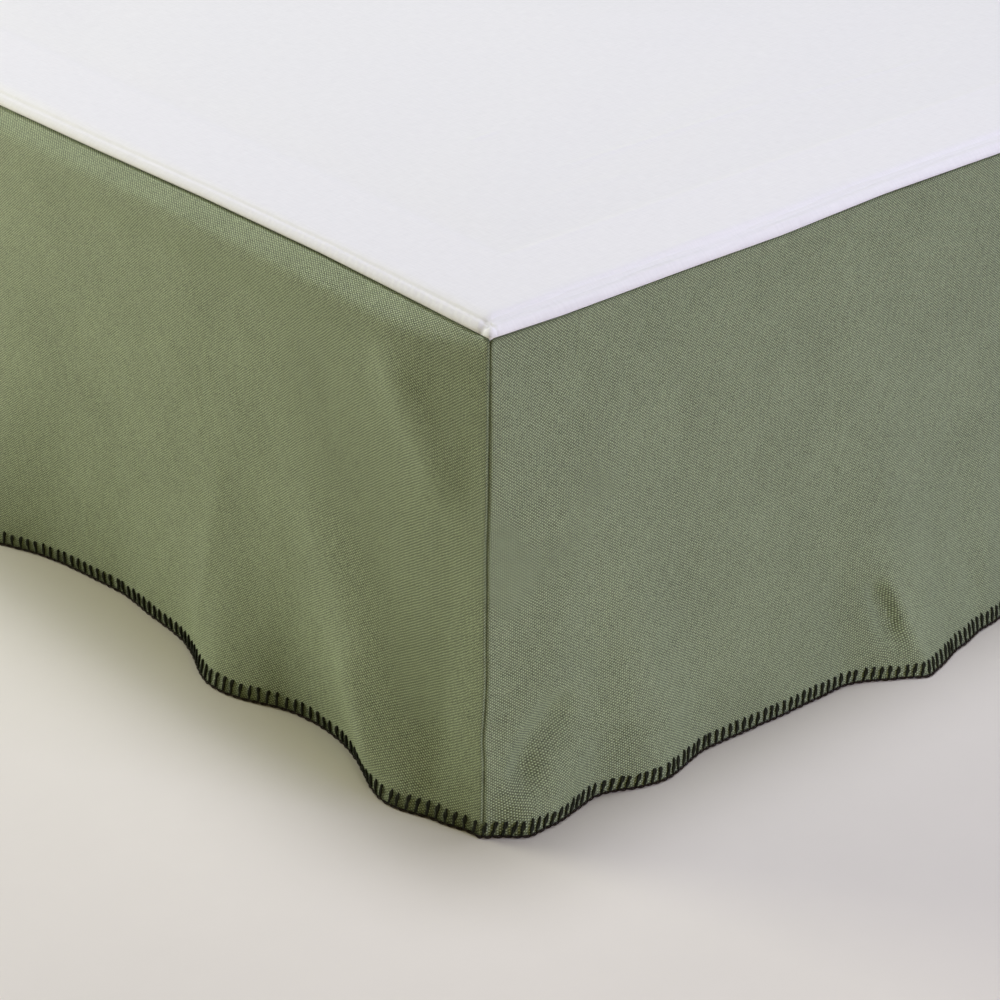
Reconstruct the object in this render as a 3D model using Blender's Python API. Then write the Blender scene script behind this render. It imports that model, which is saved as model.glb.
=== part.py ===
"""A bed skirt on the plain upholstered bed base that carries it.

The skirt is a white deck that lies on the base and three canvas panels sewn to the deck's rolled
edge. The panels hang to the floor in loose folds and meet in a mitred seam at each foot corner.
The head end has no panel. Units are metres, +Z is up, the foot of the bed faces -Y, and the
origin is on the floor under the middle of the whole thing.
"""

import math

import bmesh
import bpy

# ---- Driving dimensions ----
BED_WIDTH = 1.400
BED_LENGTH = 2.000
DECK_TOP = 0.4075  # the skirt's deck above the floor
LEG_HEIGHT = 0.150
LEG_TOP_RADIUS = 0.026
LEG_FOOT_RADIUS = 0.019
LEG_INSET = 0.090  # leg axis to the base's sides
LEG_SIDES = 24
LEG_CHAMFER = 0.002

DECK_THICK = 0.0012
PANEL_THICK = 0.0015
PIECE_GAP = 0.0003  # between neighbouring pieces
CLOTH_CLEARANCE = 0.002  # hanging cloth to the base's side
ROLL_RADIUS = 0.022  # outer face of the cloth where it turns over the base's edge
HEAD_SETBACK = 0.025  # the skirt stops this far short of the base's head face

BASE_EDGE_RADIUS = 0.024
BASE_LOWER_RADIUS = 0.008
BASE_CORNER_RADIUS = 0.034
ARC_STEPS = 5

# ---- How the panels hang ----
CORNER_HOLD = 0.035  # folds die out this close to a corner seam
CORNER_WRAP = 0.200  # the cloth fans out round the corner within this length
FLARE_POWER = 1.15  # how the flare grows from the base's edge to the hem
COLUMN_STEP = 0.031
ROLL_ROWS = 2
HEM_ROWS = (0.17, 0.36, 0.54, 0.71, 0.86, 1.0)  # shares of the hanging height
DECK_ROLL_STEPS = 4

# Where the seam sits below the deck's top, along each side.
# Rows: (along the side from the corner, drop below the deck)
SEAM_DROP = {
    "left": (
        (0.00, 0.0100), (0.10, 0.0085), (0.20, 0.0072), (0.35, 0.0076), (0.50, 0.0095),
        (0.65, 0.0106), (0.90, 0.0082), (1.20, 0.0098), (1.50, 0.0078), (1.75, 0.0092),
    ),
    "foot": (
        (0.00, 0.0100), (0.07, 0.0116), (0.20, 0.0115), (0.30, 0.0122), (0.42, 0.0100),
        (0.56, 0.0112), (0.75, 0.0122), (0.95, 0.0100), (1.20, 0.0112),
    ),
    "right": (
        (0.00, 0.0100), (0.10, 0.0108), (0.20, 0.0096), (0.42, 0.0082), (0.70, 0.0100),
        (1.05, 0.0088), (1.35, 0.0106), (1.65, 0.0084),
    ),
}

# How far each corner seam leans out at the hem, square to the side panel and to the foot panel.
SEAM_LEAN = {"left": (0.031, 0.026), "right": (0.033, 0.029)}

# How far each panel leans out at the hem between its folds, and how far from a corner seam it
# takes that flare. Columns: flare, spread
SIDE_FLARE = {"left": (0.025, 0.060), "foot": (0.050, 0.032), "right": (0.034, 0.060)}

# Each fold is a soft ridge that grows towards the hem. Its crest may climb aslant.
# Rows: (along at the hem, width, out at the hem, rise power, lean along per height)
FOLDS = {
    "left": (
        (0.075, 0.052, 0.033, 2.6, 0.20),
        (0.286, 0.056, 0.032, 2.2, 0.06),
        (0.665, 0.086, 0.039, 2.0, -0.04),
        (0.900, 0.060, 0.018, 2.8, 0.08),
        (1.095, 0.070, 0.033, 2.0, 0.02),
        (1.320, 0.055, 0.020, 2.6, -0.10),
        (1.520, 0.078, 0.036, 2.1, 0.05),
        (1.775, 0.060, 0.024, 2.4, -0.05),
    ),
    "foot": (
        (0.145, 0.038, 0.013, 2.4, -0.06),
        (0.415, 0.062, 0.040, 2.3, -0.05),
        (0.515, 0.040, 0.018, 2.8, 0.05),
        (0.700, 0.070, 0.024, 2.2, 0.06),
        (0.890, 0.060, 0.032, 2.1, -0.04),
        (1.060, 0.046, 0.015, 2.8, 0.08),
        (1.240, 0.058, 0.028, 2.3, -0.05),
    ),
    "right": (
        (0.110, 0.050, 0.024, 2.5, 0.10),
        (0.360, 0.070, 0.030, 2.1, -0.04),
        (0.600, 0.055, 0.019, 2.7, 0.07),
        (0.850, 0.080, 0.036, 2.0, 0.03),
        (1.120, 0.060, 0.022, 2.5, -0.08),
        (1.370, 0.072, 0.034, 2.1, 0.05),
        (1.640, 0.058, 0.022, 2.6, -0.04),
        (1.850, 0.060, 0.026, 2.2, 0.04),
    ),
}

# ---- Sizes that follow from the driving dimensions ----
PLANE_OUT = CLOTH_CLEARANCE + PANEL_THICK  # the panels' outer face beyond the base's side
HALF_WIDTH = BED_WIDTH / 2 + PLANE_OUT
FOOT_Y = -(BED_LENGTH / 2 + PLANE_OUT)
HEAD_Y = BED_LENGTH / 2 - HEAD_SETBACK
HANG = DECK_TOP - ROLL_RADIUS  # from the end of the roll to the floor
BASE_TOP = DECK_TOP - DECK_THICK - PIECE_GAP
BASE_BOTTOM = LEG_HEIGHT + PIECE_GAP
GAP_ANGLE = PIECE_GAP / 2 / ROLL_RADIUS
MITRE_GAP = PIECE_GAP / math.sqrt(2)
SIDE_LENGTH = {"left": HEAD_Y - FOOT_Y, "foot": 2 * HALF_WIDTH, "right": HEAD_Y - FOOT_Y}
HAS_FAR_CORNER = {"left": False, "foot": True, "right": False}

# ---- Colours (linear), roughness ----
SAGE_CANVAS = ((0.168, 0.203, 0.112, 1.0), 0.92)
WHITE_COTTON = ((0.80, 0.80, 0.81, 1.0), 0.88)
GREY_UPHOLSTERY = ((0.46, 0.44, 0.41, 1.0), 0.90)
BEECH = ((0.48, 0.31, 0.17, 1.0), 0.50)


def clear_scene():
    for ob in list(bpy.data.objects):
        bpy.data.objects.remove(ob)


def make_material(name, finish):
    colour, roughness = finish
    mat = bpy.data.materials.new(name)
    mat.use_nodes = True
    shader = mat.node_tree.nodes["Principled BSDF"]
    shader.inputs["Base Color"].default_value = colour
    shader.inputs["Roughness"].default_value = roughness
    shader.inputs["Metallic"].default_value = 0.0
    mat.diffuse_color = colour
    return mat


def add_object(name, bm, material, parent):
    bmesh.ops.recalc_face_normals(bm, faces=bm.faces)
    mesh = bpy.data.meshes.new(name)
    bm.to_mesh(mesh)
    bm.free()
    mesh.materials.append(material)
    ob = bpy.data.objects.new(name, mesh)
    ob.parent = parent
    bpy.context.collection.objects.link(ob)
    return ob


def smoothstep(x):
    x = min(1.0, max(0.0, x))
    return x * x * (3 - 2 * x)


def seam_angle(side, u):
    """Where the seam lies on the rolled edge: 0 is the hanging face, 90 degrees the deck."""
    rows = SEAM_DROP[side]
    length = SIDE_LENGTH[side]
    end_drop = rows[0][1] if HAS_FAR_CORNER[side] else rows[-1][1]
    rows = rows + ((length, end_drop),)
    angles = [(along, math.asin(1 - drop / ROLL_RADIUS)) for along, drop in rows]
    for (u0, a0), (u1, a1) in zip(angles, angles[1:]):
        if u <= u1:
            return a0 + (a1 - a0) * (u - u0) / (u1 - u0)
    return angles[-1][1]


def corner_ramp(side, u, reach):
    """0 at a corner seam, 1 from reach onwards."""
    ramp = smoothstep(u / reach)
    if HAS_FAR_CORNER[side]:
        ramp *= smoothstep((SIDE_LENGTH[side] - u) / reach)
    return ramp


def seam_lean(side, u):
    """How far the nearer corner seam leans out at the hem, square to this side."""
    if side != "foot":
        return SEAM_LEAN[side][0]
    corner = "left" if u < SIDE_LENGTH["foot"] / 2 else "right"
    return SEAM_LEAN[corner][1]


def neighbour_lean(side, u):
    """How far the nearer corner seam leans out at the hem, along this side."""
    if side != "foot":
        return SEAM_LEAN[side][1]
    corner = "left" if u < SIDE_LENGTH["foot"] / 2 else "right"
    return SEAM_LEAN[corner][0]


def hang_out(side, u, t):
    """How far the panel's outer face stands out at share t of the hanging height."""
    flare, spread = SIDE_FLARE[side]
    lean = seam_lean(side, u)
    out = (lean + (flare - lean) * corner_ramp(side, u, spread)) * t**FLARE_POWER
    folds = 0.0
    for along, width, crest, rise, lean in FOLDS[side]:
        offset = (u - along - lean * (1 - t)) / width
        folds += crest * math.exp(-offset * offset) * t**rise
    return out + folds * corner_ramp(side, u, CORNER_HOLD)


def rolled(angle, depth):
    """Outward and upward place on the rolled edge, depth below the cloth's outer face."""
    radius = ROLL_RADIUS - depth
    return -ROLL_RADIUS + radius * math.cos(angle), -ROLL_RADIUS + radius * math.sin(angle)


def wrap(side, u, corner_out, gap):
    """The place along the side, fanned so that a corner's column lies in the mitre."""
    shift = gap - corner_out
    along = u + shift * max(0.0, 1 - u / CORNER_WRAP)
    if HAS_FAR_CORNER[side]:
        rest = SIDE_LENGTH[side] - u
        along -= shift * max(0.0, 1 - rest / CORNER_WRAP)
    return along


def place(side, along, out, up):
    """From along a side, outward and up from the deck's top to the bed's own frame."""
    z = DECK_TOP + up
    if side == "foot":
        return -HALF_WIDTH + along, FOOT_Y - out, z
    sign = -1 if side == "left" else 1
    return sign * (HALF_WIDTH + out), FOOT_Y + along, z


def seam_stations(side):
    return [row[0] for row in SEAM_DROP[side]] + [SIDE_LENGTH[side]]


def panel_stations(side):
    """The seam's stations with even columns between them."""
    knots = seam_stations(side)
    stations = [knots[0]]
    for u0, u1 in zip(knots, knots[1:]):
        count = math.ceil((u1 - u0) / COLUMN_STEP)
        stations += [u0 + (u1 - u0) * i / count for i in range(1, count + 1)]
    return stations


def panel_column(side, u, depth):
    """One column of a panel from the seam to the hem, depth below its outer face."""
    points = []
    for row in range(ROLL_ROWS):
        share = 1 - row / ROLL_ROWS
        out, up = rolled((seam_angle(side, u) - GAP_ANGLE) * share, depth)
        corner_out, _ = rolled((seam_angle(side, 0) - GAP_ANGLE) * share, depth)
        points.append(place(side, wrap(side, u, corner_out, MITRE_GAP), out, up))
    for t in (0.0,) + HEM_ROWS:
        corner_out = neighbour_lean(side, u) * t**FLARE_POWER - depth
        along = wrap(side, u, corner_out, MITRE_GAP)
        points.append(place(side, along, hang_out(side, u, t) - depth, -ROLL_RADIUS - HANG * t))
    return points


def add_points(bm, columns):
    return [[bm.verts.new(co) for co in column] for column in columns]


def skin(bm, grid):
    """Quads over a grid of vertices."""
    for a, b in zip(grid, grid[1:]):
        for i in range(len(a) - 1):
            bm.faces.new((a[i], b[i], b[i + 1], a[i + 1]))


def stitch(bm, outer, inner):
    """Quads between two matching runs of vertices."""
    for i in range(len(outer) - 1):
        bm.faces.new((outer[i], outer[i + 1], inner[i + 1], inner[i]))


def make_panel(side, material, parent):
    bm = bmesh.new()
    stations = panel_stations(side)
    outer = add_points(bm, [panel_column(side, u, 0.0) for u in stations])
    inner = add_points(bm, [panel_column(side, u, PANEL_THICK) for u in stations])
    skin(bm, outer)
    skin(bm, inner)
    stitch(bm, outer[0], inner[0])
    stitch(bm, outer[-1], inner[-1])
    stitch(bm, [column[0] for column in outer], [column[0] for column in inner])
    stitch(bm, [column[-1] for column in outer], [column[-1] for column in inner])
    return add_object("skirt_panel_" + side, bm, material, parent)


def deck_section(side, u, depth):
    """The deck's rolled edge at one station, from the seam up to the flat top."""
    points = []
    for step in range(DECK_ROLL_STEPS + 1):
        share = step / DECK_ROLL_STEPS
        start = seam_angle(side, u) + GAP_ANGLE
        corner_start = seam_angle(side, 0) + GAP_ANGLE
        out, up = rolled(start + (math.pi / 2 - start) * share, depth)
        corner_out, _ = rolled(corner_start + (math.pi / 2 - corner_start) * share, depth)
        points.append(place(side, wrap(side, u, corner_out, 0.0), out, up))
    return points


def deck_sections(depth):
    """The rolled edge from the head down the left side, along the foot and up the right side."""
    left = [deck_section("left", u, depth) for u in reversed(seam_stations("left"))]
    foot = [deck_section("foot", u, depth) for u in seam_stations("foot")[1:]]
    right = [deck_section("right", u, depth) for u in seam_stations("right")[1:]]
    return left + foot + right


def make_deck(material, parent):
    bm = bmesh.new()
    outer = add_points(bm, deck_sections(0.0))
    inner = add_points(bm, deck_sections(DECK_THICK))
    skin(bm, outer)
    skin(bm, inner)
    top = [section[-1] for section in outer]
    under = [section[-1] for section in inner]
    bm.faces.new(top)
    bm.faces.new(under)
    stitch(bm, [section[0] for section in outer], [section[0] for section in inner])
    stitch(bm, outer[0], inner[0])
    stitch(bm, outer[-1], inner[-1])
    stitch(bm, [top[-1], top[0]], [under[-1], under[0]])
    return add_object("skirt_deck", bm, material, parent)


def rounded_ring(inset, z):
    """A rectangle with rounded corners, inset from the base's sides."""
    radius = BASE_CORNER_RADIUS - inset
    centre_x = BED_WIDTH / 2 - BASE_CORNER_RADIUS
    centre_y = BED_LENGTH / 2 - BASE_CORNER_RADIUS
    ring = []
    for quarter, (sx, sy) in enumerate(((1, 1), (-1, 1), (-1, -1), (1, -1))):
        for step in range(ARC_STEPS + 1):
            angle = math.pi / 2 * (quarter + step / ARC_STEPS)
            x = sx * centre_x + radius * math.cos(angle)
            y = sy * centre_y + radius * math.sin(angle)
            ring.append((x, y, z))
    return ring


def edge_levels(radius, z, turn):
    """Insets and heights round one edge of the base: turn is 1 for the top, -1 for below."""
    levels = []
    for step in range(ARC_STEPS + 1):
        angle = math.pi / 2 * step / ARC_STEPS
        levels.append((radius * (1 - math.cos(angle)), z - turn * radius * (1 - math.sin(angle))))
    return levels


def make_base(material, parent):
    bm = bmesh.new()
    lower = edge_levels(BASE_LOWER_RADIUS, BASE_BOTTOM, -1)
    upper = edge_levels(BASE_EDGE_RADIUS, BASE_TOP, 1)
    levels = lower[::-1] + upper
    rings = add_points(bm, [rounded_ring(inset, z) for inset, z in levels])
    closed = [ring + [ring[0]] for ring in rings]
    skin(bm, closed)
    bm.faces.new(rings[0])
    bm.faces.new(rings[-1])
    return add_object("bed_base", bm, material, parent)


def make_leg(end, side, material, parent):
    bm = bmesh.new()
    bmesh.ops.create_cone(
        bm,
        cap_ends=True,
        segments=LEG_SIDES,
        radius1=LEG_FOOT_RADIUS,
        radius2=LEG_TOP_RADIUS,
        depth=LEG_HEIGHT,
    )
    foot_edges = [e for e in bm.edges if all(v.co.z < 0 for v in e.verts)]
    bmesh.ops.bevel(bm, geom=foot_edges, offset=LEG_CHAMFER, segments=1, affect="EDGES")
    ob = add_object("bed_leg_%s_%s" % (end, side), bm, material, parent)
    x = BED_WIDTH / 2 - LEG_INSET
    y = BED_LENGTH / 2 - LEG_INSET
    ob.location = (-x if side == "left" else x, -y if end == "foot" else y, LEG_HEIGHT / 2)
    ob.data.shade_smooth()
    ob.data.set_sharp_from_angle(angle=math.radians(40))
    return ob


def centre_on_origin(root, cloth):
    """Moves the root so that the hanging cloth's box and the base share a middle at 0, 0."""
    xs = [v.co.x for ob in cloth for v in ob.data.vertices]
    ys = [v.co.y for ob in cloth for v in ob.data.vertices] + [BED_LENGTH / 2]
    root.location = (-(min(xs) + max(xs)) / 2, -(min(ys) + max(ys)) / 2, 0.0)


def main():
    clear_scene()
    root = bpy.data.objects.new("bed_skirt_root", None)
    bpy.context.collection.objects.link(root)
    canvas = make_material("sage_canvas", SAGE_CANVAS)
    cotton = make_material("white_cotton", WHITE_COTTON)
    upholstery = make_material("base_upholstery", GREY_UPHOLSTERY)
    beech = make_material("leg_beech", BEECH)
    cloth = [make_panel(side, canvas, root) for side in ("left", "foot", "right")]
    cloth.append(make_deck(cotton, root))
    make_base(upholstery, root)
    for end in ("foot", "head"):
        for side in ("left", "right"):
            make_leg(end, side, beech, root)
    centre_on_origin(root, cloth)
    bpy.context.view_layer.update()


main()
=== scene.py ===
"""The looks of the bed skirt: canvas panels with a blanket-stitched hem, a cotton deck, the
upholstered base and its legs, then the floor, the lights and the camera.

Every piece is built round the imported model, in its frame. Units are metres and +Z is up. The
foot of the bed faces -Y. A side's stations run from its corner seam at the left of the foot, or
from the foot end on the two long sides.
"""

import math

import bmesh
import bpy
import numpy as np
from mathutils import Matrix, Vector


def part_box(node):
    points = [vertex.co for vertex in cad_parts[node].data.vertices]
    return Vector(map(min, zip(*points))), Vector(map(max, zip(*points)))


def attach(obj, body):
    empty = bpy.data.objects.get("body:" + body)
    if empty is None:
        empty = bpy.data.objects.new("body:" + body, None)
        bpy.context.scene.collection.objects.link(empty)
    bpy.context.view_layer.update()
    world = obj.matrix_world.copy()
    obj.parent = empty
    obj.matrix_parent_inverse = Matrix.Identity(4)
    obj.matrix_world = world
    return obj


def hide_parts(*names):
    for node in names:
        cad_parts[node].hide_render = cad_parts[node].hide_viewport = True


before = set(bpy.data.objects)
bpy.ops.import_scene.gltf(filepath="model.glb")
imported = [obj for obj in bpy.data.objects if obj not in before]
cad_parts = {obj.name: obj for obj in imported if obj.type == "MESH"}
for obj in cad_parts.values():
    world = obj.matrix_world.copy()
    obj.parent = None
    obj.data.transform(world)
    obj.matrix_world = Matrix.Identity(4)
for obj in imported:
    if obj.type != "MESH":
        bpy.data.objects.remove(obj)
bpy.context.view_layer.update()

# ---- The bed and the skirt, as the model has them ----
BED_WIDTH = 1.400
BED_LENGTH = 2.000
DECK_TOP = 0.4075
LEG_HEIGHT = 0.150
LEG_TOP_RADIUS = 0.026
LEG_FOOT_RADIUS = 0.019
DECK_THICK = 0.0012
PANEL_THICK = 0.0015
PIECE_GAP = 0.0003
CLOTH_CLEARANCE = 0.002
ROLL_RADIUS = 0.022
HEAD_SETBACK = 0.025
BASE_EDGE_RADIUS = 0.024
BASE_LOWER_RADIUS = 0.008
BASE_CORNER_RADIUS = 0.034
CORNER_HOLD = 0.035
CORNER_WRAP = 0.200
FLARE_POWER = 1.15

# Rows: (along the side from the corner, seam's drop below the deck)
SEAM_DROP = {
    "left": (
        (0.00, 0.0100), (0.10, 0.0085), (0.20, 0.0072), (0.35, 0.0076), (0.50, 0.0095),
        (0.65, 0.0106), (0.90, 0.0082), (1.20, 0.0098), (1.50, 0.0078), (1.75, 0.0092),
    ),
    "foot": (
        (0.00, 0.0100), (0.07, 0.0116), (0.20, 0.0115), (0.30, 0.0122), (0.42, 0.0100),
        (0.56, 0.0112), (0.75, 0.0122), (0.95, 0.0100), (1.20, 0.0112),
    ),
    "right": (
        (0.00, 0.0100), (0.10, 0.0108), (0.20, 0.0096), (0.42, 0.0082), (0.70, 0.0100),
        (1.05, 0.0088), (1.35, 0.0106), (1.65, 0.0084),
    ),
}
SEAM_LEAN = {"left": (0.0335, 0.029), "right": (0.033, 0.029)}
SIDE_FLARE = {"left": (0.025, 0.060), "foot": (0.050, 0.028), "right": (0.034, 0.060)}
SPREAD_ABOVE = 3.5  # the corner blends in over this much more of the side near the top

# Rows: (along at the hem, width, out at the hem, rise power, lean along per height)
FOLDS = {
    "left": (
        (0.075, 0.052, 0.033, 2.6, 0.20),
        (0.042, 0.018, -0.004, 3.0, 0.00),
        (0.286, 0.056, 0.030, 4.6, 0.10),
        (0.245, 0.020, 0.002, 3.0, 0.00),
        (0.465, 0.035, -0.004, 3.0, 0.00),
        (0.665, 0.086, 0.039, 2.0, -0.04),
        (0.900, 0.060, 0.018, 2.8, 0.08),
        (1.095, 0.070, 0.033, 2.0, 0.02),
        (1.320, 0.055, 0.020, 2.6, -0.10),
        (1.520, 0.078, 0.036, 2.1, 0.05),
        (1.775, 0.060, 0.024, 2.4, -0.05),
    ),
    "foot": (
        (0.092, 0.022, -0.008, 3.0, 0.00),
        (0.145, 0.038, 0.013, 2.4, -0.06),
        (0.172, 0.030, -0.005, 3.0, 0.00),
        (0.285, 0.080, 0.006, 3.0, 0.00),
        (0.415, 0.062, 0.040, 2.3, -0.05),
        (0.470, 0.018, 0.005, 3.0, 0.00),
        (0.515, 0.040, 0.018, 2.8, 0.05),
        (0.700, 0.070, 0.024, 2.2, 0.06),
        (0.890, 0.060, 0.032, 2.1, -0.04),
        (1.060, 0.046, 0.015, 2.8, 0.08),
        (1.240, 0.058, 0.028, 2.3, -0.05),
    ),
    "right": (
        (0.110, 0.050, 0.024, 2.5, 0.10),
        (0.360, 0.070, 0.030, 2.1, -0.04),
        (0.600, 0.055, 0.019, 2.7, 0.07),
        (0.850, 0.080, 0.036, 2.0, 0.03),
        (1.120, 0.060, 0.022, 2.5, -0.08),
        (1.370, 0.072, 0.034, 2.1, 0.05),
        (1.640, 0.058, 0.022, 2.6, -0.04),
        (1.850, 0.060, 0.026, 2.2, 0.04),
    ),
}

PLANE_OUT = CLOTH_CLEARANCE + PANEL_THICK
HALF_WIDTH = BED_WIDTH / 2 + PLANE_OUT
FOOT_Y = -(BED_LENGTH / 2 + PLANE_OUT)
HEAD_Y = BED_LENGTH / 2 - HEAD_SETBACK
HANG = DECK_TOP - ROLL_RADIUS
BASE_TOP = DECK_TOP - DECK_THICK - PIECE_GAP
BASE_BOTTOM = LEG_HEIGHT + PIECE_GAP
GAP_ANGLE = PIECE_GAP / 2 / ROLL_RADIUS
MITRE_GAP = PIECE_GAP / math.sqrt(2)
SIDE_LENGTH = {"left": HEAD_Y - FOOT_Y, "foot": 2 * HALF_WIDTH, "right": HEAD_Y - FOOT_Y}

base_low, base_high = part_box("bed_base")
BED_X = (base_low.x + base_high.x) / 2
BED_Y = (base_low.y + base_high.y) / 2
ORIGIN = (BED_X - HALF_WIDTH, BED_Y + FOOT_Y, DECK_TOP)  # where the left and the foot faces meet

# ---- Fine form of the cloth ----
HEM_LIFT = 0.0018  # the canvas stops this far above the floor, on its edge yarn
HEM_ROUND = 0.0004
SEAM_TUCK = 0.0022  # the cloth turns in this far at its seams
SEAM_TUCK_REACH = 0.0040
RELIEF_START = 0.10  # creases fade in over this share of the height
CREASE_FADE = 0.3  # share of a crease's length over which each end fades

# The panels puff out beyond their seams. Rows by side: (puff, drop over which it rises, its reach
# from the corner seam at the top, how much less that is per share of the height, its least,
# the share of the height by which it has gone, tuck under the deck's edge, drop of that tuck)
PANEL_PUFF = {
    "left": (0.0155, 0.0120, 0.128, 0.33, 0.018, 0.31, 0.0, 0.008),
    "foot": (0.0060, 0.0700, 0.018, 0.0, 0.018, 0.90, 0.0019, 0.013),
    "right": (0.0090, 0.0150, 0.100, 0.22, 0.020, 0.55, 0.0004, 0.008),
}

# The corner seam's small wander. Rows: (share of the height, spread, shift along the foot)
SEAM_WANDER = ((0.79, 0.035, -0.0009), (0.66, 0.05, 0.0005), (0.40, 0.07, -0.0004))

# Creases in the canvas, each a soft ridge or, where its height is negative, a trough.
# Rows: (from along, from share of height, to along, to share, width, height, sideways bow if any)
PANEL_CREASES = {
    "left": (
        (0.112, 0.02, 0.033, 0.36, 0.027, 0.0074, 0.004),
        (0.070, 0.125, 0.620, 0.115, 0.027, -0.0030),
        (0.152, 0.73, 0.094, 0.99, 0.020, 0.0054),
        (0.316, 0.52, 0.336, 1.00, 0.010, 0.0012),
        (0.335, 0.22, 0.250, 0.58, 0.010, 0.0006, 0.006),
        (0.420, 0.30, 0.300, 0.62, 0.012, 0.0006, -0.004),
        (0.245, 0.35, 0.130, 0.72, 0.012, 0.0006, 0.004),
        (0.470, 0.55, 0.400, 0.95, 0.012, 0.0007),
        (0.780, 0.30, 0.900, 0.75, 0.018, 0.0014, 0.010),
        (1.180, 0.20, 1.240, 0.80, 0.016, 0.0012, -0.006),
        (1.420, 0.45, 1.360, 1.00, 0.012, 0.0014),
        (1.640, 0.15, 1.720, 0.70, 0.018, 0.0012, 0.008),
    ),
    "foot": (
        (0.396, 0.88, 0.407, 1.10, 0.0105, 0.0046),
        (0.378, 0.74, 0.397, 0.97, 0.0080, 0.0050, 0.003),
        (0.340, 0.69, 0.352, 1.12, 0.024, -0.0045),
        (0.372, 0.76, 0.385, 0.94, 0.0100, -0.0085),
        (0.066, 0.72, 0.014, 0.94, 0.016, -0.0120),
        (0.048, 0.78, 0.022, 0.92, 0.010, -0.0038),
        (0.042, 0.78, 0.050, 1.02, 0.011, 0.0032),
        (0.044, 0.97, 0.140, 0.76, 0.009, 0.0018, 0.004),
        (0.060, 0.99, 0.200, 0.82, 0.008, 0.0012),
        (0.006, 0.60, 0.040, 0.36, 0.014, 0.0010),
        (0.012, 0.02, 0.014, 0.45, 0.012, -0.0012),
        (0.280, 0.30, 0.420, 0.55, 0.014, -0.0006, 0.006),
        (0.330, 0.64, 0.250, 0.92, 0.012, 0.0007),
        (0.620, 0.30, 0.560, 0.80, 0.014, 0.0012, 0.006),
        (0.960, 0.35, 0.990, 0.95, 0.010, 0.0012),
        (1.180, 0.10, 1.320, 0.60, 0.018, 0.0014, 0.008),
    ),
    "right": (
        (0.060, 0.05, 0.130, 0.45, 0.022, 0.0020, 0.004),
        (0.300, 0.50, 0.270, 1.00, 0.012, 0.0014),
        (0.500, 0.15, 0.620, 0.60, 0.016, 0.0012, 0.008),
        (0.780, 0.55, 0.760, 1.00, 0.010, -0.0016, 0.004),
        (1.000, 0.25, 0.930, 0.75, 0.016, 0.0012),
        (1.460, 0.30, 1.540, 0.85, 0.014, 0.0014, 0.006),
        (1.740, 0.20, 1.700, 0.70, 0.016, 0.0010),
    ),
}

# Low unevenness. Rows: (wavelength, its direction below the line of the seam in degrees, phase,
# height)
PANEL_WAVES = (
    (0.190, 8.0, 0.3, 0.0005),
    (0.105, -24.0, 1.7, 0.00018),
)
# Fine wrinkles, a sum of waves: how many, shortest, longest, direction, its spread, slope
WRINKLES = (28, 0.011, 0.038, 58.0, 24.0, 0.034)
WRINKLE_SEED = 4

# The seam's folded edge under the deck's rim, and the groove behind it.
# Rows by side: (its width, ridge height, groove depth, groove width)
SEAM_ALLOWANCE = {
    "left": (0.0086, 0.0013, 0.0007, 0.0013),
    "foot": (0.0100, 0.0015, 0.0020, 0.0045),
    "right": (0.0092, 0.0007, 0.0006, 0.0020),
}
BORDER_WIDTH = 0.096  # the deck's doubled border
BORDER_RISE = 0.0004
BORDER_EDGE = 0.005
BORDER_WELT = 0.0003  # height of the welt that its inner edge makes
BORDER_WELT_WIDTH = 0.0028
BORDER_WELT_INSET = 0.004
HEAD_HEM = 0.018
DECK_WAVE = 0.0006  # the deck lies a little uneven within the border
PUCKER_PITCH = 0.0078  # the puckers that the seam's stitches draw
PUCKER_RISE = 0.00026

# Creases in the deck, from the left and the foot faces of the skirt.
# Rows: (from x, from y, to x, to y, width, height)
DECK_CREASES = (
    (0.0066, 0.0140, 0.0140, 0.0072, 0.0011, -0.0016),
    (0.0150, 0.0070, 0.0048, 0.0034, 0.0012, 0.0007),
    (0.215, 0.199, 0.520, 0.190, 0.0026, 0.0008),
    (0.480, 0.190, 0.700, 0.172, 0.0028, 0.0007),
    (0.226, 0.289, 0.268, 0.291, 0.0024, 0.0009),
    (0.180, 0.163, 0.310, 0.148, 0.0060, 0.0004),
    (0.330, 0.225, 0.560, 0.236, 0.0090, 0.0005),
    (0.440, 0.540, 0.660, 0.330, 0.0300, 0.0011),
    (0.380, 0.470, 0.560, 0.330, 0.0200, 0.0007),
    (0.700, 0.520, 0.860, 0.700, 0.0200, 0.0008),
    (0.300, 0.900, 0.620, 1.050, 0.0180, 0.0009),
    (0.800, 1.250, 1.120, 1.180, 0.0160, 0.0009),
    (0.420, 1.520, 0.780, 1.600, 0.0200, 0.0010),
    (0.950, 0.300, 1.200, 0.420, 0.0140, 0.0008),
    (1.060, 1.640, 1.260, 1.480, 0.0120, 0.0007),
    (0.180, 1.260, 0.360, 1.400, 0.0120, 0.0006),
)

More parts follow.
